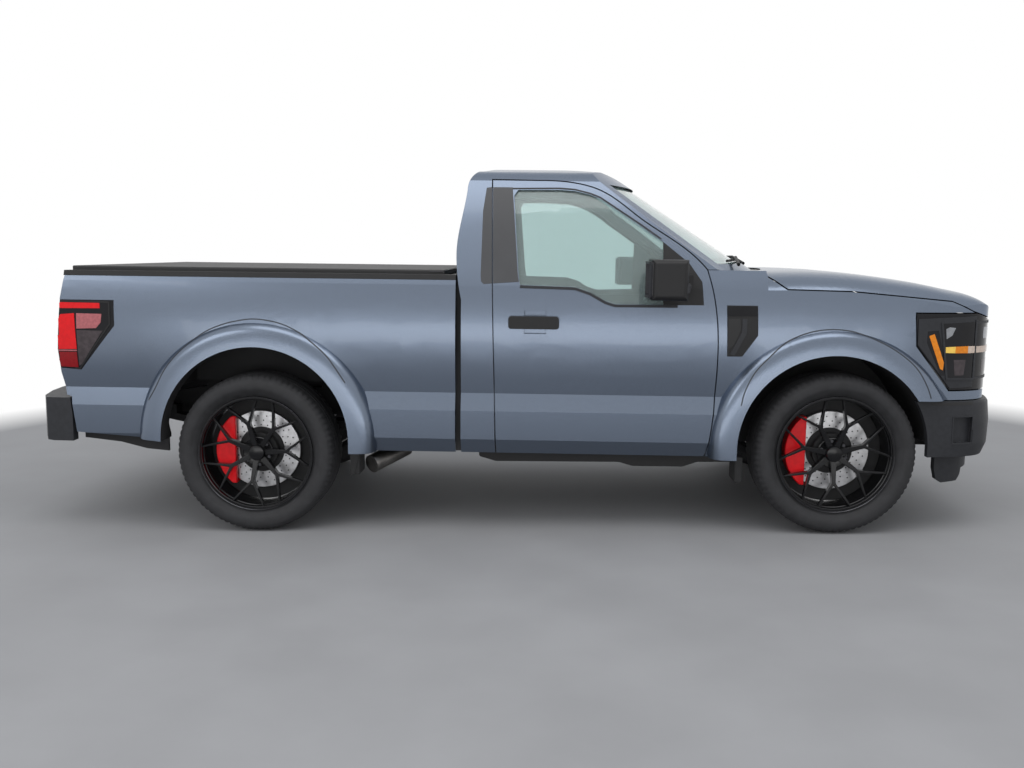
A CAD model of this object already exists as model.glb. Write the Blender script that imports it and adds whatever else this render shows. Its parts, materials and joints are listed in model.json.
import bpy
import bmesh
import json
import math
from mathutils import Matrix, Vector
from mathutils.bvhtree import BVHTree
from mathutils.geometry import delaunay_2d_cdt


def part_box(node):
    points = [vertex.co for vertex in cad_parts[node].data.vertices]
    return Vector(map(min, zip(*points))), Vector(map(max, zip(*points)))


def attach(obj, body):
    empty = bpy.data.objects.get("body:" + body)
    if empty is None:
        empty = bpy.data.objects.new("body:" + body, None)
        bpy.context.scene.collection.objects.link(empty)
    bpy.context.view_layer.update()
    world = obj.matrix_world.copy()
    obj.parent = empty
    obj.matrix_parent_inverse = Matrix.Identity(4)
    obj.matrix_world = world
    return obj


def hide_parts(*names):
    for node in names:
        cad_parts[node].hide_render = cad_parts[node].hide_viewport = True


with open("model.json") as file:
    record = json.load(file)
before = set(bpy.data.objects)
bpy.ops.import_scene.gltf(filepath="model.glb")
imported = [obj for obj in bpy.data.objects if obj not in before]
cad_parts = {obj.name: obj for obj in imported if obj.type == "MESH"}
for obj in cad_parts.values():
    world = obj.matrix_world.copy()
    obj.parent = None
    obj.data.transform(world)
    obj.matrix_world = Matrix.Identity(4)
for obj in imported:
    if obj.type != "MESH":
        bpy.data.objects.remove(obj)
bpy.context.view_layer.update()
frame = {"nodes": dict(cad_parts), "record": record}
nodes = frame["nodes"]
print("frame loaded:", len(nodes), "nodes")

# The body was drawn level, then tipped a little about the front axle. Places below are
# in millimetres in that level body, and at() turns them into metres in the row frame.
truck = {"rake": 0.9, "axleX": 1712.5, "axleZ": 432.0, "wheelbase": 3119.0, "halfTrack": 820.0}
lean = math.radians(truck["rake"])


def at(x, y, z):
    dx, dz = x - truck["axleX"], z - truck["axleZ"]
    rowX = truck["axleX"] + dx * math.cos(lean) + dz * math.sin(lean)
    rowZ = truck["axleZ"] - dx * math.sin(lean) + dz * math.cos(lean)
    return Vector((rowX / 1000, y / 1000, rowZ / 1000))


bodyOf = {n: b for b, members in frame["record"]["behaviour"]["bodies"].items() for n in members}


def newNodes(tree, prefix, *kinds):
    return [tree.nodes.new(prefix + kind) for kind in kinds]


def fill(node, values):
    for key, value in values.items():
        node.inputs[key].default_value = value


def wire(tree, *links):
    # Each link: from a node and its output, to a node and its input
    for source, out, target, into in links:
        tree.links.new(source.outputs[out], target.inputs[into])


materialStyle = {"detail": 4.0, "bump": 0.001, "ramp": (0.35, 0.65), "gloss": (0.85, 1.15), "warp": 1.5}


def newMaterial(name, colour, rough, metal=0.0, tone=0.12, toneScale=9.0, grain=(400.0, 0.12), sockets=None):
    # Colour and gloss that drift a little, over a fine bump, all in object coordinates
    limits = materialStyle
    mat = bpy.data.materials.new(name)
    mat.use_nodes = True
    tree = mat.node_tree
    shader = tree.nodes["Principled BSDF"]
    where, drift, fine, ramp, gloss, bump = newNodes(
        tree, "ShaderNode", "TexCoord", "TexNoise", "TexNoise", "ValToRGB", "MapRange", "Bump",
    )
    fill(shader, {"Metallic": metal, **(sockets or {})})
    fill(drift, {"Scale": toneScale, "Detail": limits["detail"]})
    fill(fine, {"Scale": grain[0]})
    fill(bump, {"Strength": grain[1], "Distance": limits["bump"]})
    for end, share in enumerate((1.0 - tone, 1.0 + tone)):
        ramp.color_ramp.elements[end].position = limits["ramp"][end]
        ramp.color_ramp.elements[end].color = (*[min(c * share, 1.0) for c in colour], 1.0)
    low, high = limits["gloss"]
    fill(gloss, {"To Min": rough * low, "To Max": min(rough * high, 1.0)})
    wire(
        tree, (where, "Object", drift, "Vector"), (where, "Object", fine, "Vector"), (drift, "Fac", ramp, "Fac"),
        (ramp, "Color", shader, "Base Color"), (drift, "Fac", gloss, "Value"), (gloss, "Result", shader, "Roughness"),
        (fine, "Fac", bump, "Height"), (bump, "Normal", shader, "Normal"),
    )
    return mat


# Each: colour, roughness, metal, drift of the tone and its scale, grain and its depth, other sockets
paintSockets = {"Coat Weight": 0.45, "Coat Roughness": 0.03, "Coat IOR": 1.35, "Specular Tint": (0.45, 0.5, 0.58, 1.0)}


def shine(level):
    return {"Specular IOR Level": level}


dull = shine(0.22)
bodyPaint = newMaterial("bodyPaint", (0.14, 0.17, 0.222), 0.27, 0.85, 0.1, 1500, (2600, 0.03), paintSockets)
flareShade = newMaterial("flareShade", (0.02, 0.024, 0.032), 0.5, 0, 0.05, 9, (900, 0.05))
charcoal = newMaterial("charcoalPlastic", (0.027, 0.028, 0.032), 0.5, 0, 0.1, 40, (900, 0.28), shine(0.25))
trimBlack = newMaterial("trimBlack", (0.01, 0.01, 0.011), 0.48, grain=(1100, 0.22), sockets=shine(0.3))
pillarBlack = newMaterial("pillarBlack", (0.033, 0.034, 0.038), 0.42, 0, 0.06, 9, (1500, 0.1))
rubberSeal = newMaterial("rubberSeal", (0.008, 0.008, 0.009), 0.62, grain=(700, 0.15))
lidVinyl = newMaterial("lidVinyl", (0.013, 0.013, 0.014), 0.55, grain=(520, 0.5))
bedLiner = newMaterial("bedLiner", (0.014, 0.014, 0.015), 0.75, grain=(260, 0.6))
underBlack = newMaterial("underBlack", (0.01, 0.01, 0.011), 0.7, 0, 0.35, 14, (150, 0.4))
castMetal = newMaterial("castMetal", (0.1, 0.1, 0.1), 0.55, 0.7, 0.25, 12, (240, 0.5))
exhaustSteel = newMaterial("exhaustSteel", (0.24, 0.23, 0.22), 0.36, 1, 0.25, 12, (500, 0.1))

# Wheels and brakes
tyreRubber = newMaterial("tyreRubber", (0.027, 0.027, 0.029), 0.74, 0, 0.16, 22, (650, 0.25), shine(0.35))
wheelBlack = newMaterial("wheelBlack", (0.005, 0.005, 0.006), 0.2, 0, 0.15, 30, (60, 0.02), shine(0.3))
wheelEdge = newMaterial("wheelEdge", (0.1, 0.1, 0.11), 0.22, 0.9, 0.1, 60, (400, 0.04))
caliperRed = newMaterial("caliperRed", (0.86, 0.01, 0.016), 0.3, 0, 0.08, 30, (220, 0.1), shine(0.25))
rotorSteel = newMaterial("rotorSteel", (0.46, 0.46, 0.47), 0.3, 1, 0.1, 45, (420, 0.14))
boltSteel = newMaterial("boltSteel", (0.05, 0.05, 0.055), 0.3, 0.9, 0.15, 90, (500, 0.08))

# Glass and lamps
clear = {"Transmission Weight": 0.86, "IOR": 1.45}
windowGlass = newMaterial("windowGlass", (0.66, 0.8, 0.79), 0.01, 0, 0.01, 2, (2, 0), clear)
lampBlack = newMaterial("lampBlack", (0.008, 0.008, 0.01), 0.1, 0, 0.2, 9, (120, 0.02), dull)
lampAmber = newMaterial("lampAmber", (0.78, 0.24, 0.015), 0.16, 0, 0.1, 60, (160, 0.18), dull)
lampGold = newMaterial("lampGold", (0.95, 0.62, 0.12), 0.16, 0, 0.06, 60, (160, 0.18), dull)
lampPale = newMaterial("lampPale", (0.62, 0.5, 0.42), 0.16, 0, 0.08, 60, (160, 0.18), dull)
lampSilver = newMaterial("lampSilver", (0.24, 0.25, 0.27), 0.16, 0.9, 0.1, 40, (90, 0.1))
lampRed = newMaterial("lampRed", (0.72, 0.01, 0.014), 0.12, 0, 0.06, 60, (140, 0.12), dull)
lampDeepRed = newMaterial("lampDeepRed", (0.24, 0.006, 0.01), 0.12, 0, 0.1, 60, (140, 0.12), dull)
lampPink = newMaterial("lampPink", (0.42, 0.13, 0.14), 0.14, 0, 0.12, 80, (110, 0.2), dull)
lampSmoke = newMaterial("lampSmoke", (0.06, 0.048, 0.052), 0.1, 0, 0.2, 40, (110, 0.1), dull)
mirrorSilver = newMaterial("mirrorSilver", (0.8, 0.8, 0.82), 0.03, 1, 0.02, 5, (50, 0))

# Cabin
cabinTrim = newMaterial("cabinTrim", (0.04, 0.041, 0.045), 0.6, grain=(900, 0.35))
headCloth = newMaterial("headCloth", (0.16, 0.16, 0.165), 0.85, grain=(1200, 0.4))


def weave(mat, size, depth):
    # Two crossing sets of threads as one bump, in place of the plain grain
    tree = mat.node_tree
    where, high, bump = newNodes(tree, "ShaderNode", "TexCoord", "Math", "Bump")
    high.operation = "MAXIMUM"
    for i, way in enumerate(("X", "Y")):
        threads, = newNodes(tree, "ShaderNode", "TexWave")
        threads.bands_direction = way
        fill(threads, {"Scale": size, "Distortion": materialStyle["warp"]})
        wire(tree, (where, "Object", threads, "Vector"), (threads, "Fac", high, i))
    fill(bump, {"Strength": depth, "Distance": materialStyle["bump"]})
    wire(tree, (high, 0, bump, "Height"), (bump, "Normal", tree.nodes["Principled BSDF"], "Normal"))
    return mat


seatCloth = newMaterial("seatCloth", (0.05, 0.051, 0.056), 0.88, sockets={"Sheen Weight": 0.4})
weave(seatCloth, 260.0, 0.55)
print("materials ready")


def linked(name, data):
    obj = bpy.data.objects.new(name, data)
    bpy.context.scene.collection.objects.link(obj)
    return obj


def evaluated(obj):
    bpy.context.view_layer.update()
    return bpy.data.meshes.new_from_object(obj.evaluated_get(bpy.context.evaluated_depsgraph_get()))


def meshObject(name, mesh, material=None):
    obj = linked(name, mesh)
    if material is not None:
        obj.data.materials.clear()
        obj.data.materials.append(material)
    return obj


def smooth(mesh, degrees):
    # Smooth faces, with the edges sharper than an angle kept sharp
    bm = bmesh.new()
    bm.from_mesh(mesh)
    limit = math.radians(degrees)
    for face in bm.faces:
        face.smooth = True
    for edge in bm.edges:
        edge.smooth = len(edge.link_faces) == 2 and edge.calc_face_angle(0.0) < limit
    bm.to_mesh(mesh)
    bm.free()


def meshOf(name, bm, degrees=35, faced=False):
    # Turns a finished bmesh into a smoothed mesh, outwards unless its faces are set already
    if not faced:
        bmesh.ops.recalc_face_normals(bm, faces=bm.faces)
    mesh = bpy.data.meshes.new(name)
    bm.to_mesh(mesh)
    bm.free()
    smooth(mesh, degrees)
    return mesh


def finishPiece(obj, body="truck", replaces=()):
    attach(obj, body)
    if replaces:
        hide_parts(*replaces)
    return obj


def islandsOf(bm):
    # Vertex sets that hang together
    left = set(bm.verts)
    groups = []
    while left:
        seed = left.pop()
        group, edge = {seed}, [seed]
        while edge:
            for e in edge.pop().link_edges:
                for v in e.verts:
                    if v in left:
                        left.discard(v)
                        group.add(v)
                        edge.append(v)
        groups.append(group)
    return groups


skinStyle = {"merge": 0.00005, "flat": 0.4, "sharp": 30, "corner": 40, "segments": 2}


def dress(node, material, degrees=skinStyle["sharp"], bevel=0.0, keep=None, name=None, second=None, inside=None):
    # A merged and smoothed copy of a CAD node, or of those of its solids that keep() picks.
    # Faces for which inside(centre, normal) holds get the second material.
    mesh = nodes[node].data.copy()
    bm = bmesh.new()
    bm.from_mesh(mesh)
    bmesh.ops.remove_doubles(bm, verts=bm.verts, dist=skinStyle["merge"])
    if keep:
        gone = [v for group in islandsOf(bm) if not keep([v.co for v in group]) for v in group]
        bmesh.ops.delete(bm, geom=gone, context="VERTS")
    bmesh.ops.dissolve_limit(bm, angle_limit=math.radians(skinStyle["flat"]), verts=bm.verts, edges=bm.edges)
    bm.to_mesh(mesh)
    bm.free()
    smooth(mesh, degrees)
    obj = meshObject(name or node + "Skin", mesh, material)
    if second:
        mesh.materials.append(second)
        for face in mesh.polygons:
            if inside(face.center, face.normal):
                face.material_index = 1
    if bevel:
        cut = obj.modifiers.new("edge", "BEVEL")
        cut.width = bevel
        cut.segments = skinStyle["segments"]
        cut.limit_method = "ANGLE"
        cut.angle_limit = math.radians(skinStyle["corner"])
        cut.use_clamp_overlap = True
    flat = obj.modifiers.new("shade", "WEIGHTED_NORMAL")
    flat.keep_sharp = True
    return finishPiece(obj, bodyOf[node], [node])


# Which faces of a panel look inwards or down, and so aren't painted
cabinMiddle = at(330, 0, 1250)
unpainted = {
    "down": -0.7, "cabLow": 0.47, "bodyLow": 0.5, "inwards": -0.12, "arch": 0.53, "shift": 0.03, "archFacing": -0.5,
}
places = {"front": truck["axleX"], "rear": truck["axleX"] - truck["wheelbase"]}
axleAt = {key: Vector((x, 0, truck["axleZ"])) / 1000 for key, x in places.items()}


def underside(centre, normal, low):
    return normal.z < unpainted["down"] and centre.z < low


def inCabin(centre, normal):
    return normal.dot(centre - cabinMiddle) < 0 or underside(centre, normal, unpainted["cabLow"])


def inwards(centre, normal):
    return normal.y * centre.y < unpainted["inwards"] * abs(centre.y)


def inArch(centre, normal):
    if inwards(centre, normal):
        return True
    for middle in axleAt.values():
        out = Vector((centre.x - middle.x + unpainted["shift"], 0, centre.z - middle.z - unpainted["shift"]))
        if out.length < unpainted["arch"] and normal.dot(out.normalized()) < unpainted["archFacing"]:
            return True
    return underside(centre, normal, unpainted["bodyLow"])


panelStyle = {"sharp": 11, "edge": 0.0012}
panels = {
    "cab_shell": (headCloth, inCabin), "door_right": (cabinTrim, inwards), "door_left": (cabinTrim, inwards),
    "hood": (underBlack, lambda c, n: n.z < -0.25), "front_fenders": (underBlack, inArch),
    "bed_sides": (underBlack, inArch), "tailgate": (bedLiner, lambda c, n: n.x > 0.5),
}
for node, (second, inside) in panels.items():
    dress(node, bodyPaint, panelStyle["sharp"], panelStyle["edge"], second=second, inside=inside)
trims = [
    (trimBlack, 0.01, "mirror_right mirror_left"),
    (trimBlack, 0.0015, "handle_right handle_left rail_caps cowl fender_vents fuel_tank"),
    (underBlack, 0, "carrier chassis_frame suspension wheel_liners"), (bedLiner, 0, "bed_box"),
    (charcoal, 0.002, "grille"), (castMetal, 0.002, "powertrain"), (exhaustSteel, 0, "exhaust"),
    (lidVinyl, 0.006, "tonneau"), (cabinTrim, 0.006, "dashboard steering_wheel"),
    (lampBlack, 0.002, "headlamps tail_lamps"), (windowGlass, 0, "cab_glass door_glass_right door_glass_left"),
]
for node in ("front_bumper", "rear_bumper"):
    dress(node, charcoal, 14, 0.0025)
for material, edge, names in trims:
    for node in names.split():
        dress(node, material, bevel=edge)
print("panels dressed")


def loft(bm, rings, along, around):
    # Faces between rings of points, closed along the run or around each ring where said
    count, size = len(rings), len(rings[0])
    for i in range(count if along else count - 1):
        a, b = rings[i], rings[(i + 1) % count]
        for k in range(size if around else size - 1):
            n = (k + 1) % size
            bm.faces.new((a[k], a[n], b[n], b[k]))


def tube(name, points, radius, material, sides=8):
    # A round bar along a run of points
    bm = bmesh.new()
    rings = []
    for i, here in enumerate(points):
        way = (points[min(i + 1, len(points) - 1)] - points[max(i - 1, 0)]).normalized()
        across = way.cross(Vector((0, 0, 1)) if abs(way.z) < 0.9 else Vector((0, 1, 0))).normalized()
        rise = across.cross(way)
        turns = [2 * math.pi * k / sides for k in range(sides)]
        rings.append([bm.verts.new(here + (across * math.cos(a) + rise * math.sin(a)) * radius) for a in turns])
    loft(bm, rings, False, True)
    bm.faces.new(rings[0])
    bm.faces.new(rings[-1])
    return meshObject(name, meshOf(name, bm, 50), material)


def block(name, corners, depth, material, bevel=0.004):
    # A slab: an outline of points pushed through by a vector, with rounded edges
    bm = bmesh.new()
    low = [bm.verts.new(p) for p in corners]
    high = [bm.verts.new(p + depth) for p in corners]
    bm.faces.new(low)
    bm.faces.new(high[::-1])
    loft(bm, (high, low), False, True)
    bmesh.ops.recalc_face_normals(bm, faces=bm.faces)
    bmesh.ops.bevel(bm, geom=bm.edges[:], offset=bevel, segments=3, affect="EDGES", clamp_overlap=True)
    return meshObject(name, meshOf(name, bm, 30), material)


def sideSlab(name, outline, y, deep, material, bevel):
    # A slab whose outline is seen from the side, as (x, z), from y inwards or outwards
    return block(name, [at(x, y, z) for x, z in outline], Vector((0, deep / 1000, 0)), material, bevel)


# Wheels
sides = (("right", -1, "Right"), ("left", 1, "Left"))
wheelStyle = {
    "brakeReach": 0.235, "rotorFace": 0.8175, "lugs": 6, "lugCircle": 0.069, "lugRadius": 0.0105, "lugTop": 0.92,
    "lugTurn": 20, "lugOut": 0.9, "lugDepth": 0.024, "lugEdge": 0.0016, "drillRows": (0.137, 0.162, 0.187), "drills": 24,
    "drillTurn": 5, "drillOut": 0.8162, "drillRadius": 0.004, "drillDepth": 0.0016,
}
shieldStyle = {"out": 0.7765, "thick": 0.003, "radius": 0.2895, "bore": 0.11}
tyreStyle = {
    "turns": 240, "grooveDepth": 0.007, "grooveEdge": 0.0008, "grooves": ((0.0715, 0.0785), (0.033, 0.0405)),
    "crown": 0.42, "sipeDepth": 0.005, "shoulder": (0.082, 0.146), "treadLow": 0.399,
    "wall": 0.145, "ribs": (0.355, 0.39), "ribRise": 0.0006,
    "profile": [
        (-0.11, 0.3052), (-0.118, 0.3175), (-0.121, 0.324), (-0.129, 0.33), (-0.1385, 0.339), (-0.144, 0.348),
        (-0.1462, 0.35), (-0.1505, 0.36), (-0.1521, 0.37), (-0.1512, 0.385), (-0.148, 0.398), (-0.143, 0.408),
        (-0.1405, 0.4095), (-0.136, 0.4155), (-0.129, 0.4205), (-0.118, 0.425), (-0.101, 0.429), (-0.08, 0.4308),
        (-0.079, 0.4308), (-0.071, 0.431), (-0.042, 0.4318), (-0.041, 0.4318), (-0.032, 0.4318), (0.0, 0.432),
    ],
}


def makeTyre(where, side, sign):
    style = tyreStyle
    half = style["profile"] + [(-y, r) for y, r in style["profile"][-2::-1]]
    centre = axleAt[where]
    bm = bmesh.new()
    rings = []
    for i in range(style["turns"]):
        angle = 2 * math.pi * i / style["turns"]
        ring = []
        for y, r in half:
            if i % 3 == 0 and style["shoulder"][0] < abs(y) < style["shoulder"][1] and r > style["treadLow"]:
                r -= style["sipeDepth"]
            if i % 2 == 0 and style["wall"] < abs(y) and style["ribs"][0] < r < style["ribs"][1]:
                r += style["ribRise"]
            out = centre.y + sign * truck["halfTrack"] / 1000 + y
            ring.append(bm.verts.new((centre.x + r * math.cos(angle), out, centre.z + r * math.sin(angle))))
        rings.append(ring)
    loft(bm, rings, True, True)
    groove = []
    for face in bm.faces:
        mid = face.calc_center_median()
        edge = abs(mid.y - centre.y - sign * truck["halfTrack"] / 1000)
        inGroove = any(low < edge < high for low, high in style["grooves"])
        if inGroove and math.hypot(mid.x - centre.x, mid.z - centre.z) > style["crown"]:
            groove.append(face)
    bmesh.ops.recalc_face_normals(bm, faces=bm.faces)
    bmesh.ops.inset_region(bm, faces=groove, thickness=style["grooveEdge"], depth=-style["grooveDepth"])
    node = "tyre_" + where + "_" + side
    obj = meshObject(node + "Tread", meshOf("tyre", bm, 32), tyreRubber)
    finishPiece(obj, bodyOf[node], [node])


def nearTo(centre, reach):
    return lambda pts: max(math.hypot(p.x - centre.x, p.z - centre.z) for p in pts) <= reach


def spreadTree(name, layout):
    # Copies of one piece on a ring or a grid of points, as a small node tree with named inputs
    tree = bpy.data.node_groups.new(name, "GeometryNodeTree")
    face = tree.interface
    face.new_socket("Geometry", in_out="OUTPUT", socket_type="NodeSocketGeometry")
    face.new_socket("Geometry", in_out="INPUT", socket_type="NodeSocketGeometry")
    kinds = {
        "Piece": "Object", "Count": "Int", "Rows": "Int", "Radius": "Float",
        "Height": "Float", "Place": "Vector", "Turn": "Vector", "Finish": "Material",
    }
    for key, kind in kinds.items():
        face.new_socket(key, in_out="INPUT", socket_type="NodeSocket" + kind)
    start, end = newNodes(tree, "NodeGroup", "Input", "Output")
    info, copies, move, real, finish = newNodes(
        tree, "GeometryNode", "ObjectInfo", "InstanceOnPoints", "Transform", "RealizeInstances", "SetMaterial",
    )
    if layout == "ring":
        points, index = newNodes(tree, "GeometryNode", "MeshCircle", "InputIndex")
        step, turn, spin = newNodes(tree, "ShaderNode", "Math", "Math", "CombineXYZ")
        step.operation, turn.operation = "DIVIDE", "MULTIPLY"
        fill(turn, {1: 2 * math.pi})
        wire(
            tree, (start, "Count", points, "Vertices"), (start, "Radius", points, "Radius"), (index, 0, step, 0),
            (start, "Count", step, 1), (step, 0, turn, 0), (turn, 0, spin, "Z"), (spin, 0, copies, "Rotation"),
        )
    else:
        points, = newNodes(tree, "GeometryNode", "MeshGrid")
        wire(
            tree, (start, "Count", points, "Vertices X"), (start, "Rows", points, "Vertices Y"),
            (start, "Radius", points, "Size X"), (start, "Height", points, "Size Y"),
        )
    wire(
        tree, (start, "Piece", info, "Object"), (points, "Mesh", copies, "Points"), (info, "Geometry", copies, "Instance"),
        (copies, 0, move, "Geometry"), (start, "Place", move, "Translation"), (start, "Turn", move, "Rotation"),
        (move, 0, real, 0), (real, 0, finish, "Geometry"), (start, "Finish", finish, "Material"), (finish, 0, end, 0),
    )
    return tree


ringTree, gridTree = spreadTree("ringOfPieces", "ring"), spreadTree("gridOfPieces", "grid")


def spread(name, tree, **values):
    carrier = meshObject(name + "Seed", bpy.data.meshes.new(name + "Seed"))
    mod = carrier.modifiers.new("spread", "NODES")
    mod.node_group = tree
    for key, value in values.items():
        sockets = [s for s in tree.interface.items_tree if s.name == key.capitalize() and s.in_out == "INPUT"]
        mod[sockets[0].identifier] = value
    carrier.update_tag()
    made = evaluated(carrier)
    bpy.data.objects.remove(carrier)
    return meshObject(name, made)


def roundSeed(name, radius, top, depth, segments, material, bevel=0.0):
    bm = bmesh.new()
    bmesh.ops.create_cone(bm, cap_ends=True, segments=segments, radius1=radius, radius2=top, depth=depth)
    if bevel:
        bmesh.ops.bevel(bm, geom=bm.edges[:], offset=bevel, segments=2, affect="EDGES")
    return meshObject(name, meshOf(name, bm), material)


def spun(name, profile, place, sign, segments, material, degrees=30):
    # A revolved piece about the wheel's axis: (outwards, radius) pairs in metres
    bm = bmesh.new()
    rings = []
    for i in range(segments):
        a = 2 * math.pi * i / segments
        spots = [(place.x + r * math.cos(a), sign * out, place.z + r * math.sin(a)) for out, r in profile]
        rings.append([bm.verts.new(p) for p in spots])
    loft(bm, rings, True, False)
    if profile[0] == profile[-1]:
        bmesh.ops.remove_doubles(bm, verts=bm.verts, dist=skinStyle["merge"])
    else:
        bm.faces.new([ring[0] for ring in rings])
        bm.faces.new([ring[-1] for ring in rings])
    return meshObject(name, meshOf(name, bm, degrees), material)


def loopOf(out, inn, low, high):
    return [(out, low), (out, high), (inn, high), (inn, low), (out, low)]


# One Y-shaped spoke lying along X with its face up: corners as (along, across), the height
# of its face and its depth at the hub and at the rim
spokeStyle = {
    "corners": [
        (0.036, -0.016), (0.16, -0.01), (0.284, -0.091), (0.289, -0.0838), (0.172, 0.0),
        (0.289, 0.0838), (0.284, 0.091), (0.16, 0.01), (0.036, 0.016),
    ],
    "faces": [(0, 1, 4, 7, 8), (1, 2, 3, 4), (4, 5, 6, 7)],
    "face": (0.914, 0.936), "depth": (0.05, 0.024), "hub": 0.036, "length": 0.265, "edge": 0.003, "corner": 0.6,
    "count": 7, "ring": 0.0001, "phase": {"front": -14.6, "rear": -2.0},
}
hoopStyle = [
    (0.9505, 0.314), (0.95, 0.3025), (0.943, 0.3005), (0.942, 0.2965), (0.929, 0.2945), (0.918, 0.2945),
    (0.915, 0.2908), (0.696, 0.2908), (0.689, 0.293), (0.689, 0.3155), (0.697, 0.3155), (0.703, 0.305),
    (0.935, 0.305), (0.942, 0.3155), (0.9505, 0.314),
]
hubStyle = {
    "disc": [(0.8625, 0.07), (0.88, 0.082), (0.894, 0.082), (0.897, 0.078), (0.891, 0.06), (0.891, 0.001)],
    "cap": [(0.89, 0.044), (0.925, 0.043), (0.932, 0.0395), (0.9345, 0.03), (0.936, 0.001)],
    "lip": [(0.9502, 0.3112), (0.9516, 0.3125), (0.9502, 0.314), (0.949, 0.3125), (0.9502, 0.3112)],
}
wheelParts = [
    ("hoop", hoopStyle, 144, wheelBlack, 30), ("hub", hubStyle["disc"], 64, wheelBlack, 30),
    ("cap", hubStyle["cap"], 48, wheelBlack, 40), ("hat", loopOf(0.8185, 0.8165, 0.099, 0.126), 64, underBlack, 30),
    ("lip", hubStyle["lip"], 144, wheelEdge, 60),
]


def spokeSeed():
    style = spokeStyle
    bm = bmesh.new()
    front, rear = [], []
    for x, y in style["corners"]:
        share = (math.hypot(x, y) - style["hub"]) / style["length"]
        height = style["face"][0] + (style["face"][1] - style["face"][0]) * share
        depth = style["depth"][0] + (style["depth"][1] - style["depth"][0]) * share
        front.append(bm.verts.new((x, y, height)))
        rear.append(bm.verts.new((x, y, height - depth)))
    for corners in style["faces"]:
        bm.faces.new([front[i] for i in corners])
        bm.faces.new([rear[i] for i in corners[::-1]])
    loft(bm, (rear, front), False, True)
    bmesh.ops.recalc_face_normals(bm, faces=bm.faces)
    rims = [e for e in bm.edges if e.calc_face_angle(0.0) > style["corner"]]
    bmesh.ops.bevel(bm, geom=rims, offset=style["edge"], segments=3, affect="EDGES", clamp_overlap=True)
    return meshObject("spokeSeed", meshOf("spoke", bm, 40), wheelBlack)


def ringed(name, seed, count, radius, place, turn, material, body):
    values = {"piece": seed, "count": count, "radius": radius, "place": place, "finish": material}
    finishPiece(spread(name, ringTree, turn=[math.radians(a) for a in turn], **values), body)


style = wheelStyle
top = style["lugRadius"] * style["lugTop"]
nut = roundSeed("nutSeed", style["lugRadius"], top, style["lugDepth"], 6, boltSteel, style["lugEdge"])
hole = roundSeed("holeSeed", style["drillRadius"], style["drillRadius"], style["drillDepth"], 10, rubberSeal)
spoke = spokeSeed()
for where in ("front", "rear"):
    for side, sign, word in sides:
        centre = axleAt[where]
        tag = where.capitalize() + word
        makeTyre(where, side, sign)
        rim = "rim_" + where + "_" + side
        wheel = bodyOf[rim]
        dress(
            rim, rotorSteel, bevel=0.001, keep=nearTo(centre, style["brakeReach"]), name="rotor" + tag,
            second=underBlack, inside=lambda c, n: abs(c.y) > style["rotorFace"],
        )
        turn = (-sign * 90, spokeStyle["phase"][where], 0)
        ringed("spokes" + tag, spoke, spokeStyle["count"], spokeStyle["ring"], centre, turn, wheelBlack, wheel)
        for key, profile, segments, material, degrees in wheelParts:
            finishPiece(spun(key + tag, profile, centre, sign, segments, material, degrees), wheel)
        place, turn = centre + Vector((0, sign * style["lugOut"], 0)), (90, style["lugTurn"], 0)
        ringed("nuts" + tag, nut, style["lugs"], style["lugCircle"], place, turn, boltSteel, wheel)
        place = centre + Vector((0, sign * style["drillOut"], 0))
        for row, radius in enumerate(style["drillRows"]):
            turn = (90, style["drillTurn"] * row, 0)
            ringed("drilled" + tag + str(row), hole, style["drills"], radius, place, turn, rubberSeal, wheel)
        out = shieldStyle["out"]
        shield = loopOf(out, out - shieldStyle["thick"], shieldStyle["bore"], shieldStyle["radius"])
        hub = "knuckle_" + side if where == "front" else "truck"
        finishPiece(spun("shield" + tag, shield, centre, sign, 96, underBlack), hub)
for seed in (nut, hole, spoke):
    bpy.data.objects.remove(seed)


caliperStyle = {"out": (0.7, 0.87), "long": 0.16, "edge": 0.006}


def isRed(pts):
    low, high = caliperStyle["out"]
    across, along = [abs(p.y) for p in pts], [p.x for p in pts]
    return min(across) > low and max(across) < high and max(along) - min(along) < caliperStyle["long"]


for side, _, word in sides:
    dress("knuckle_" + side, caliperRed, bevel=caliperStyle["edge"], keep=isRed, name="caliperFront" + word)
    dress("knuckle_" + side, castMetal, keep=lambda pts: not isRed(pts), name="upright" + word)
dress("rear_axle", caliperRed, bevel=caliperStyle["edge"], keep=isRed, name="calipersRear")
dress("rear_axle", underBlack, keep=lambda pts: not isRed(pts), name="axleRear")
print("wheels made")

# Sheets and strips laid on the truck's outer faces. Their outlines are pairs in the level
# body: (x, z) from the sides, (y, z) from the front and back. A facing names the axis that
# is looked along and where the look starts.
trees = {}
facings = {"right": (1, -3000), "left": (1, 3000), "front": (0, 6000), "back": (0, -6000)}


def castOn(names, u, v, facing):
    # The outermost point of some CAD nodes at a place, and the way out towards the viewer
    if names not in trees:
        points, faces = [], []
        for name in names.split():
            mesh = nodes[name].data
            base = len(points)
            points += [v.co.copy() for v in mesh.vertices]
            faces += [[base + i for i in p.vertices] for p in mesh.polygons]
        trees[names] = BVHTree.FromPolygons(points, faces)
    axis, far = facings[facing]
    start, end = (at(*[u, v][:axis], depth, *[u, v][axis:]) for depth in (far, 0))
    way = (end - start).normalized()
    hit = trees[names].ray_cast(start, way)[0]
    return hit, -way


def dense(points, step):
    out = []
    for a, b in zip(points, points[1:]):
        count = max(1, int((Vector(b) - Vector(a)).length / step))
        out += [Vector(a).lerp(Vector(b), i / count) for i in range(count)]
    return out + [Vector(points[-1])]


def laidPoint(bm, names, u, v, facing, lift):
    hit, out = castOn(names, u, v, facing)
    return bm.verts.new(hit + out * lift / 1000) if hit is not None else None


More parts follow.
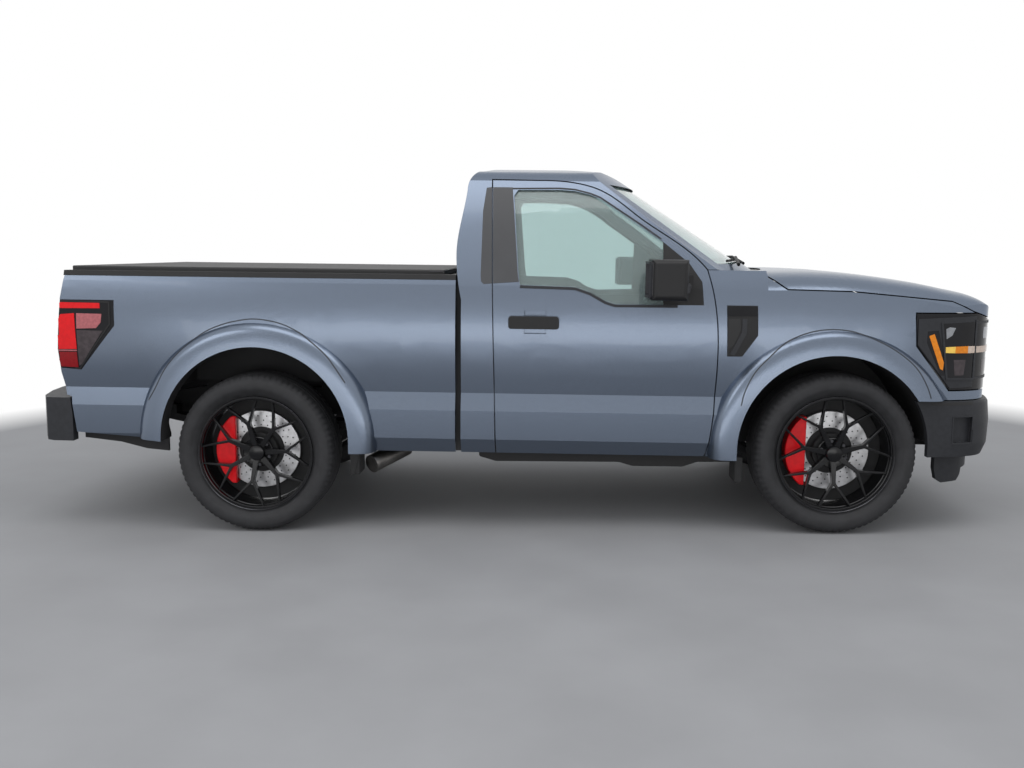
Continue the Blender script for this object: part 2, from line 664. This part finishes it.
def walled(name, bm, facing, material, thick, names, body):
    # Faces turned outwards, then given a wall
    if not bm.faces:
        raise ValueError(name + " found nothing to lie on")
    bmesh.ops.recalc_face_normals(bm, faces=bm.faces)
    out = castOn(names, 0, 0, facing)[1]
    if sum((f.normal * f.calc_area() for f in bm.faces), Vector()).dot(out) < 0:
        bmesh.ops.reverse_faces(bm, faces=bm.faces)
    obj = meshObject(name, meshOf(name, bm, 40, True), material)
    wall = obj.modifiers.new("wall", "SOLIDIFY")
    wall.thickness = thick / 1000
    wall.offset = -1
    return finishPiece(obj, body)


def sheet(
    name, outline, names, facing, material, lift=0.4, thick=1.2, step=14.0, body="truck",
):
    border = dense([*outline, outline[0]], step)[:-1]
    xs, zs = [p[0] for p in border], [p[1] for p in border]
    inner = []
    for i in range(int((max(xs) - min(xs)) / step)):
        for k in range(int((max(zs) - min(zs)) / step)):
            inner.append(Vector((min(xs) + (i + 0.5) * step, min(zs) + (k + 0.5) * step)))
    edges = [(i, (i + 1) % len(border)) for i in range(len(border))]
    verts, _, faces, *_ = delaunay_2d_cdt([Vector((p[0], p[1])) for p in border] + inner, edges, [], 1, 0.01)
    bm = bmesh.new()
    placed = [laidPoint(bm, names, v[0], v[1], facing, lift + thick) for v in verts]
    for face in faces:
        if all(placed[i] is not None for i in face):
            bm.faces.new([placed[i] for i in face])
    return walled(name, bm, facing, material, thick, names, body)


def strip(
    name, points, names, facing, material, width, lift=0.2, thick=1.5, step=12.0,
    closedLoop=False, body="truck",
):
    if closedLoop:
        points = [*points, points[0]]
    run = dense([Vector(p) for p in points], step)
    bm = bmesh.new()
    rows = []
    for i, p in enumerate(run):
        before = run[-2] if closedLoop and i == 0 else run[max(i - 1, 0)]
        after = run[1] if closedLoop and i == len(run) - 1 else run[min(i + 1, len(run) - 1)]
        way = (after - before).normalized()
        across = Vector((-way.y, way.x)) * (width / 2)
        rows.append([laidPoint(bm, names, q[0], q[1], facing, lift + thick) for q in (p + across, p - across)])
    for a, b in zip(rows, rows[1:]):
        if None not in a + b:
            bm.faces.new((a[0], a[1], b[1], b[0]))
    return walled(name, bm, facing, material, thick, names, body)


def curved(points):
    # A smooth run through some points
    out = []
    for i in range(len(points) - 1):
        a, b, c, d = (Vector(points[min(max(k, 0), len(points) - 1)]) for k in range(i - 1, i + 3))
        for k in range(5):
            t = k / 5
            square, cube = 2 * a - 5 * b + 4 * c - d, 3 * b - a - 3 * c + d
            out.append(0.5 * (2 * b + (c - a) * t + square * t * t + cube * t * t * t))
    return [*out, Vector(points[-1])]


def skinEdge(names, z, start, end, facing, rounds=14, stepIn=0.008):
    # The last place on the outer skin on the way from start to end
    depth = castOn(names, start, z, facing)[0].y
    for _ in range(rounds):
        middle = (start + end) / 2
        hit = castOn(names, middle, z, facing)[0]
        if hit is not None and abs(hit.y - depth) < stepIn:
            start = middle
        else:
            end = middle
    return start


windowEdge = {
    "top": [(-30, 1823), (224, 1827), (304, 1821), (385, 1801), (439, 1780), (548, 1708), (658, 1635), (762, 1562)],
    "belt": [(20, 1305), (309, 1298), (388, 1272), (468, 1227), (521, 1211), (978, 1213)],
    "bodyPillar": [(-170, 1826), (-186, 1700), (-189, 1362), (-186, 1330), (-172, 1316)],
    "doorPillar": [(14, 1330), (7, 1362), (-30, 1829)], "heights": (1320, 1362, 1480, 1600, 1720, 1829),
}
flareLine = {
    "front": [
        (1190, 700), (1205, 770), (1250, 866), (1314, 941), (1413, 1030), (1531, 1084), (1650, 1103),
        (1771, 1091), (1893, 1046), (1999, 987), (2090, 910), (2148, 814), (2180, 723),
    ],
    "rear": [
        (-1960, 677), (-1920, 743), (-1863, 852), (-1778, 949), (-1668, 1036), (-1560, 1085), (-1454, 1110),
        (-1379, 1116), (-1300, 1106), (-1230, 1087), (-1150, 1048), (-1084, 1001), (-1005, 933), (-953, 865), (-900, 786),
    ],
}
headLamp = {
    "surround": [(2094, 1164), (2098, 1030), (2288, 800), (2424, 806), (2424, 1180)],
    "slot": [(2146, 1100), (2206, 1104), (2256, 930), (2252, 868), (2232, 868), (2146, 1040)],
    "marker": [(2156, 1076), (2184, 1086), (2245, 936), (2242, 896), (2226, 904)],
    "bezel": [(2222, 1146), (2266, 850), (2424, 846), (2424, 1160)],
    "lens": [(2230, 1140), (2270, 858), (2428, 854), (2428, 1150)],
    "silver": [(2246, 1112), (2266, 1122), (2300, 1118), (2282, 1078), (2252, 1060)],
    "barGold": [(2250, 988), (2304, 986), (2304, 1020), (2250, 1018)],
    "barAmber": [(2304, 986), (2378, 985), (2378, 1022), (2304, 1020)],
    "barPale": [(2378, 985), (2420, 986), (2420, 1022), (2378, 1022)],
    "lowSilver": [(2300, 950), (2370, 950), (2362, 868), (2310, 868)],
}
headFront = {
    "lens": [(664, 1140), (664, 860), (905, 860), (905, 1140)],
    "bar": [(672, 986), (900, 986), (900, 1020), (672, 1020)],
    "bezel": [(660, 1146), (660, 852), (908, 852), (908, 1146)],
    "eye": [(700, 1060), (860, 1060), (860, 1120), (700, 1120)],
    "lowEye": [(700, 880), (860, 880), (860, 950), (700, 950)],
}
tailLamp = {
    "bar": [(-2444, 1192), (-2218, 1190), (-2216, 1162), (-2446, 1160)],
    "red": [(-2456, 1075), (-2430, 1128), (-2356, 1134), (-2352, 942), (-2462, 940)],
    "line": [(-2462, 937), (-2352, 937), (-2352, 931), (-2461, 931)],
    "low": [(-2460, 926), (-2354, 926), (-2352, 842), (-2446, 846)],
    "pale": [(-2344, 1134), (-2208, 1132), (-2214, 1086), (-2240, 1056), (-2346, 1052)],
    "smoke": [(-2346, 1044), (-2206, 1042), (-2330, 862), (-2346, 850)],
    "ring": [(-2452, 1199), (-2166, 1195), (-2166, 1078), (-2344, 836), (-2444, 838)],
}
ventStyle = {
    "plaque": [(1107, 1166), (1262, 1168), (1262, 1218), (1105, 1217)],
    "slot": [(1112, 1152), (1172, 1152), (1178, 1098), (1146, 1018), (1112, 988)],
    "rib": [(1196, 1152), (1196, 1080), (1138, 962)],
}
for side, sign, word in sides:
    door = "door_" + side
    edge = [(skinEdge("cab_shell", z, -160, -100, side) - 0.4, z) for z in windowEdge["heights"]]
    sheet("pillarBody" + word, windowEdge["bodyPillar"] + edge, "cab_shell", side, pillarBlack, 0.3, 1.2)
    edge = [(skinEdge(door, z, -60, -170, side) + 0.4, z) for z in windowEdge["heights"][::-1]]
    sheet("pillarDoor" + word, windowEdge["doorPillar"] + edge, door, side, pillarBlack, 0.3, 1.2, body=door)
    for key, node in (("front", "front_fenders"), ("rear", "bed_sides")):
        strip(key + "Flare" + word, curved(flareLine[key]), node, side, flareShade, 6, 0.0, 0.8)
    strip("windowSeal" + word, windowEdge["top"], door, side, rubberSeal, 7, 0.2, 2.0, body=door)
    strip("beltStrip" + word, windowEdge["belt"], door, side, charcoal, 14, 0.2, 4.0, body=door)

    lamp = "headlamps"
    sheet("lampSurround" + word, headLamp["surround"], lamp, side, charcoal, 0.2, 4.0, 10)
    for key, material, lift, thick in (
        ("slot", lampBlack, 3.4, 1.2), ("marker", lampAmber, 4.0, 2.5), ("lens", lampBlack, 3.6, 1.4),
        ("silver", lampSilver, 4.4, 1.0), ("lowSilver", lampSmoke, 4.4, 1.0), ("barGold", lampGold, 4.4, 5.0),
        ("barAmber", lampAmber, 4.4, 5.0), ("barPale", lampPale, 4.4, 5.0),
    ):
        sheet(key + "Lamp" + word, headLamp[key], lamp, side, material, lift, thick, 8)
    strip("bezelLamp" + word, headLamp["bezel"], lamp, side, charcoal, 11, 4.0, 5.0, 8)
    flip = lambda points: [(sign * y, z) for y, z in points]
    for key, material, lift, thick in (
        ("lens", lampBlack, 0.4, 1.2), ("eye", lampSilver, 1.8, 1.0), ("lowEye", lampSmoke, 1.8, 1.0),
        ("bar", lampPale, 1.8, 4.0),
    ):
        outline = flip(headFront[key])
        sheet(key + "Ahead" + word, outline, lamp, "front", material, lift, thick, 12)
    strip("bezelAhead" + word, flip(headFront["bezel"]), lamp, "front", charcoal, 12, 0.4, 5.0, closedLoop=True)

    tail = "tail_lamps"
    for key, material, thick in (
        ("bar", lampRed, 2.0), ("red", lampRed, 3.0), ("low", lampDeepRed, 2.6), ("pale", lampPink, 2.0),
        ("smoke", lampSmoke, 1.6), ("line", lampPink, 3.4),
    ):
        sheet(key + "Tail" + word, tailLamp[key], tail, side, material, 0.3, thick, 8)
    strip("ringTail" + word, tailLamp["ring"], tail, side, trimBlack, 8, 0.3, 3.0, 8)
    for key, low, high, material in (
        ("backRed", 945, 1130, lampRed), ("backTop", 1140, 1190, lampRed), ("backLow", 845, 930, lampDeepRed),
    ):
        corners = flip([(868, low), (930, low), (930, high), (868, high)])
        sheet(key + word, corners, tail, "back", material, 0.3, 2.0, 10)

    vent = "fender_vents"
    sheet("ventPlaque" + word, ventStyle["plaque"], vent, side, lampBlack, 0.3, 3.0, 10)
    sheet("ventSlot" + word, ventStyle["slot"], vent, side, rubberSeal, 0.3, 0.8, 10)
    strip("ventRib" + word, ventStyle["rib"], vent, side, charcoal, 26, 0.3, 3.5, 8)
print("lamps, vents and window edges laid")

# Front and back details
bumperStyle = {
    "topLine": [(2190, 716), (2300, 716), (2430, 718)], "recess": [(2322, 500), (2436, 500), (2438, 648), (2320, 648)],
    "intake": [(-520, 470), (520, 470), (560, 560), (-560, 560)],
}
gateStyle = {
    "cup": [(-150, 1120), (150, 1120), (150, 1205), (-150, 1205)],
    "grip": [(-130, 1150), (130, 1150), (130, 1192), (-130, 1192)],
    "stopLamp": [(-170, 1862), (170, 1862), (170, 1884), (-170, 1884)],
    "latch": [(-466, 1374), (-400, 1374), (-400, 1392), (-466, 1392)],
}
bumper = "front_bumper"
sheet("gateCup", gateStyle["cup"], "tailgate", "back", trimBlack, 0.3, 2.0, body="tailgate")
sheet("gateGrip", gateStyle["grip"], "tailgate", "back", charcoal, 2.2, 9.0, body="tailgate")
sheet("stopLamp", gateStyle["stopLamp"], "cab_shell", "back", lampDeepRed, 0.3, 5.0)
sheet("frontIntake", bumperStyle["intake"], bumper, "front", trimBlack, 0.3, 1.5)
for side, _, word in sides:
    strip("bumperTop" + word, bumperStyle["topLine"], bumper, side, rubberSeal, 16, 0.0, 1.0, 8)
    latch = gateStyle["latch"]
    sheet("lidLatch" + word, latch, "tonneau rail_caps", side, boltSteel, 0.3, 3.0, 8, "tonneau")
    recess = bumperStyle["recess"]
    strip("recessRim" + word, recess, bumper, side, charcoal, 7, 0.2, 2.0, 8, True)

# Sealed gap between cab and bed, and the skirts below the body: each an outline, its place
# across and its depth inwards
gapStyle = {"outline": [(-318.5, 412), (-290.5, 412), (-297, 1240), (-312, 1325), (-318.5, 1325)], "in": 905, "deep": 6}
skirtStyle = {
    "side": ([
        (-199, 400), (-199, 360), (-105, 334), (573, 341), (649, 320), (924, 321), (1005, 349), (1219, 353), (1219, 400),
    ], 800, 30),
    "frontFlap": ([(1190, 400), (1190, 262), (1232, 262), (1232, 400)], 900, 150),
    "rearFlap": ([(-899, 265), (-844, 265), (-844, 440), (-899, 440)], 900, 150),
}
for _, sign, word in sides:
    y, deep = sign * gapStyle["in"], -sign * gapStyle["deep"]
    finishPiece(sideSlab("gapRubber" + word, gapStyle["outline"], y, deep, rubberSeal, 0.001))
    for key, (outline, y, deep) in skirtStyle.items():
        finishPiece(sideSlab(key + "Skirt" + word, outline, sign * y, -sign * deep, underBlack, 0.004))
print("front, back and seals done")

# Mirror glass, the small lens block under each mirror, and the wipers
mirrorStyle = {
    "glass": [(1000, 1268), (1200, 1268), (1200, 1440), (1000, 1440)],
    "block": [(788, 1332), (884, 1338), (874, 1284), (800, 1278)], "blockIn": 1085, "blockWide": 118,
}
for side, sign, word in sides:
    mirror = "mirror_" + side
    door = bodyOf[mirror]
    glass = [(sign * y, z) for y, z in mirrorStyle["glass"]]
    sheet("mirrorGlass" + word, glass, mirror, "back", mirrorSilver, 0.3, 2.0, body=door)
    strip(
        "mirrorRim" + word, glass, mirror, "back", charcoal, 12, 0.2, 16.0,
        closedLoop=True, body=door,
    )
    y, wide = sign * mirrorStyle["blockIn"], sign * mirrorStyle["blockWide"]
    lens = sideSlab("mirrorBlock" + word, mirrorStyle["block"], y, wide, charcoal, 0.007)
    finishPiece(lens, door)
wiperStyle = {
    "blade": 0.0075, "arm": 0.01, "reach": [(-640, -90), (40, 590)], "base": 1437, "bow": 6, "parts": 18,
    "off": (0.01, 0, 0.012), "foot": (0.055, -0.05, -0.02), "bend": (0.03, 0, 0.016), "share": 0.35, "tip": (0, 0, 0.008),
}
style = wiperStyle
for i, (low, high) in enumerate(style["reach"]):
    spots = []
    for k in range(style["parts"] + 1):
        y = low + (high - low) * k / style["parts"]
        hit, out = castOn("cab_glass", y, style["base"] + style["bow"] * math.sin(k / 6), "front")
        if hit is not None:
            spots.append(hit + Vector(style["off"]))
    finishPiece(tube("wiperBlade" + str(i), spots, style["blade"], rubberSeal))
    middle = spots[style["parts"] // 2]
    bend = spots[0].lerp(middle, style["share"]) + Vector(style["bend"])
    run = [spots[0] + Vector(style["foot"]), bend, middle + Vector(style["tip"])]
    finishPiece(tube("wiperArm" + str(i), run, style["arm"], trimBlack))
print("mirrors and wipers made")

# Bench seat: three cushions and three back pads, blown up as cloth, with sewn channels
seatStyle = {
    "splits": [(-694, -240), (-232, 232), (240, 694)], "inset": 12.0, "voxel": 0.011, "pressure": 4.0, "cap": 0.016,
    "frames": 20, "fill": 0.7, "channel": 0.0075, "channelWide": 0.011, "cross": 0.62, "edge": 0.035,
    "base": [(72, 758), (478, 752), (484, 918), (112, 892), (72, 862)],
    "back": [(-44, 938), (52, 938), (-76, 1424), (-126.4, 1424)],
    "rest": [(-138, 1466), (-70, 1470), (-78, 1604), (-148, 1612)], "restHalf": 122, "restMiddle": 420,
    "post": ((-115, 1410), (-108, 1490), 45, 0.006),
    "plinth": [(-60, 560), (420, 560), (486, 745), (-120, 745)],
    "shell": [(-156, 700), (-40, 700), (-52, 930), (-128, 1428), (-156, 1430)],
}
pads = []


def addPad(name, outline, y0, y1, kind):
    # A closed pad with well rounded edges, ready to be blown up
    obj = sideSlab(name, outline, y0, y1 - y0, seatCloth, seatStyle["edge"])
    bm = bmesh.new()
    bm.from_mesh(obj.data)
    bmesh.ops.subdivide_edges(bm, edges=bm.edges[:], cuts=1, use_grid_fill=True)
    bm.to_mesh(obj.data)
    bm.free()
    grid = obj.modifiers.new("grid", "REMESH")
    grid.mode = "VOXEL"
    grid.voxel_size = seatStyle["voxel"]
    mesh = evaluated(obj)
    bpy.data.objects.remove(obj)
    pads.append((meshObject(name, mesh, seatCloth), (y0, y1), kind))


for i, (y0, y1) in enumerate(seatStyle["splits"]):
    for name, kind in (("seatCushion", "base"), ("backPad", "back")):
        addPad(name + str(i), seatStyle[kind], y0 + seatStyle["inset"], y1 - seatStyle["inset"], kind)
for i, sign in enumerate((-1, 1)):
    middle, half = sign * seatStyle["restMiddle"], seatStyle["restHalf"]
    addPad("headPad" + str(i), seatStyle["rest"], middle - half, middle + half, "rest")
first = {}
for pad, _, _ in pads:
    first[pad.name] = [v.co.copy() for v in pad.data.vertices]
    cloth = pad.modifiers.new("cloth", "CLOTH")
    cloth.settings.use_pressure = True
    cloth.settings.uniform_pressure_force = seatStyle["pressure"]
    cloth.settings.effector_weights.gravity = 0.0
for step in range(1, seatStyle["frames"] + 1):
    bpy.context.scene.frame_set(step)
graph = bpy.context.evaluated_depsgraph_get()
for pad, _, _ in pads:
    blown = bpy.data.meshes.new_from_object(pad.evaluated_get(graph))
    pad.modifiers.clear()
    for v, w, start in zip(pad.data.vertices, blown.vertices, first[pad.name]):
        move = w.co - start
        if move.length > seatStyle["cap"]:
            move = move.normalized() * seatStyle["cap"]
        v.co = start + move
bpy.context.scene.frame_set(1)
print("seat pads blown up")
for pad, (y0, y1), kind in pads:
    # Sewn channels: grooves that run up the pad, and one that crosses it
    middle, quarter = (y0 + y1) / 2000, (y1 - y0) / 4000
    lines = [middle - quarter, middle + quarter] if kind != "rest" else []
    mesh = pad.data
    mesh.update()
    box = [min(v.co.z for v in mesh.vertices), max(v.co.z for v in mesh.vertices)]
    cross = box[0] + (box[1] - box[0]) * seatStyle["cross"]
    normals = [n.vector.copy() for n in mesh.vertex_normals]
    for v, n in zip(mesh.vertices, normals):
        near = min((abs(v.co.y - line) for line in lines), default=1.0)
        if kind == "back":
            near = min(near, abs(v.co.z - cross))
        near = min(near / seatStyle["channelWide"], 1.0)
        v.co -= n * seatStyle["channel"] * (1 - near) ** 2
    soften = pad.modifiers.new("soften", "SUBSURF")
    soften.levels = soften.render_levels = 1
    for face in mesh.polygons:
        face.use_smooth = True
finishPiece(pads[0][0], replaces=["bench_seat"])
for pad, _, _ in pads[1:]:
    finishPiece(pad)
for key, y in (("plinth", -620), ("shell", -690)):
    hard = sideSlab("seat" + key.capitalize(), seatStyle[key], y, -2 * y, cabinTrim, 0.012)
    finishPiece(hard)
low, high, apart, thick = seatStyle["post"]
for sign in (-1, 1):
    for dy in (-apart, apart):
        y = sign * seatStyle["restMiddle"] + dy
        run = [at(x, y, z) for x, z in (low, high)]
        finishPiece(tube("headPost" + str(sign + 2) + str(dy + apart), run, thick, boltSteel))

# Dashboard face: screen, instrument glass and air vents
dashStyle = {
    "screen": [(-160, 1140), (160, 1140), (160, 1235), (-160, 1235)],
    "dials": [(270, 1170), (480, 1170), (480, 1240), (270, 1240)],
}
for key, points in dashStyle.items():
    sheet(key + "Dash", points, "dashboard", "back", lampBlack, 0.5, 6.0)
print("cabin made")

# Grille mesh: small hexagons on a grid behind the bars
netStyle = {"cell": 0.0125, "deep": 0.01, "count": 44, "rows": 14, "share": (0.94, 0.88), "in": 0.012}
cell = roundSeed("cellSeed", netStyle["cell"], netStyle["cell"], netStyle["deep"], 6, trimBlack)
low, high = (Vector(v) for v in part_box("grille"))
wide, tall = netStyle["share"]
net = spread(
    "grilleNet", gridTree, piece=cell, count=netStyle["count"], rows=netStyle["rows"],
    radius=(high.y - low.y) * wide, height=(high.z - low.z) * tall,
    place=Vector((low.x + netStyle["in"], 0, (low.z + high.z) / 2)),
    turn=(math.radians(90), 0, math.radians(90)), finish=trimBlack,
)
bpy.data.objects.remove(cell)
finishPiece(net)
print("grille net made")

# Floor: pale concrete that fades into a white ground all round
stageStyle = {"floor": (0.29, 0.29, 0.3), "size": 60.0, "fadeFrom": 4.9, "fadeTo": 5.9, "worldFill": 0.8}
floorMaterial = newMaterial("floorPale", stageStyle["floor"], 0.75, 0, 0.05, 1.6, (60, 0.2))


def whiteSeen(tree, shader, output, fade=None):
    # Plain white for rays from the camera, from gloss and through glass, over the shader
    path, either, most, pick, white = newNodes(
        tree, "ShaderNode", "LightPath", "Math", "Math", "MixShader", "Emission" if fade else "Background",
    )
    either.operation = most.operation = "MAXIMUM"
    fill(white, {"Color": (1, 1, 1, 1), "Strength": 1.0})
    share = most
    if fade:
        share, = newNodes(tree, "ShaderNode", "Math")
        share.operation = "MULTIPLY"
        wire(tree, (most, 0, share, 0), (fade, "Result", share, 1))
    wire(
        tree, (path, "Is Camera Ray", either, 0), (path, "Is Glossy Ray", either, 1), (either, 0, most, 0),
        (path, "Is Transmission Ray", most, 1), (share, 0, pick, "Fac"), (shader, 0, pick, 1), (white, 0, pick, 2),
        (pick, 0, output, "Surface"),
    )


floorTree = floorMaterial.node_tree
where, size, edge = newNodes(floorTree, "ShaderNode", "TexCoord", "VectorMath", "MapRange")
size.operation = "LENGTH"
fill(edge, {"From Min": stageStyle["fadeFrom"], "From Max": stageStyle["fadeTo"]})
wire(floorTree, (where, "Object", size, 0), (size, "Value", edge, "Value"))
whiteSeen(floorTree, floorTree.nodes["Principled BSDF"], floorTree.nodes["Material Output"], edge)
bm = bmesh.new()
bmesh.ops.create_grid(bm, x_segments=1, y_segments=1, size=stageStyle["size"])
floorMesh = bpy.data.meshes.new("floor")
bm.to_mesh(floorMesh)
bm.free()
meshObject("floor", floorMesh, floorMaterial)

world = bpy.data.worlds.new("studio")
bpy.context.scene.world = world
world.use_nodes = True
back = world.node_tree.nodes["Background"]
fill(back, {"Color": (0.94, 0.97, 1.0, 1), "Strength": stageStyle["worldFill"]})
whiteSeen(world.node_tree, back, world.node_tree.nodes["World Output"])

lamps = [
    {"place": (0.5, -3.0, 6.0), "aim": (0, 0, 0.6), "size": (7.0, 3.0), "power": 150},
    {"place": (-5.0, -6.0, 4.2), "aim": (-0.8, 0, 0.8), "size": (3.0, 2.4), "power": 60},
    {"place": (0.0, -5.7, 0.5), "aim": (0, 0, 0.5), "size": (7.0, 0.8), "power": 45},
]
for i, spec in enumerate(lamps):
    data = bpy.data.lights.new("softBox" + str(i), "AREA")
    data.shape = "RECTANGLE"
    data.size, data.size_y = spec["size"]
    data.energy = spec["power"]
    lamp = linked("softBox" + str(i), data)
    lamp.location = spec["place"]
    lamp.rotation_euler = (Vector(spec["aim"]) - Vector(spec["place"])).to_track_quat("-Z", "Y").to_euler()

view = {
    "place": (0.1605, -6.208, 1.518), "yaw": -1.863, "pitch": 7.623, "roll": -0.23,
    "lens": 35.0, "sensor": 36.0, "clip": (0.05, 200.0),
}
cameraData = bpy.data.cameras.new("photoCamera")
cameraData.lens = view["lens"]
cameraData.sensor_width = view["sensor"]
cameraData.sensor_fit = "HORIZONTAL"
cameraData.clip_start, cameraData.clip_end = view["clip"]
camera = linked("photoCamera", cameraData)
camera.matrix_world = Matrix.Translation(view["place"])
for turn, axis in ((-view["yaw"], "Z"), (90 - view["pitch"], "X"), (view["roll"], "Z")):
    camera.matrix_world = camera.matrix_world @ Matrix.Rotation(math.radians(turn), 4, axis)
bpy.context.scene.camera = camera
bpy.context.scene.view_settings.view_transform = "Standard"
print("stage and camera set")
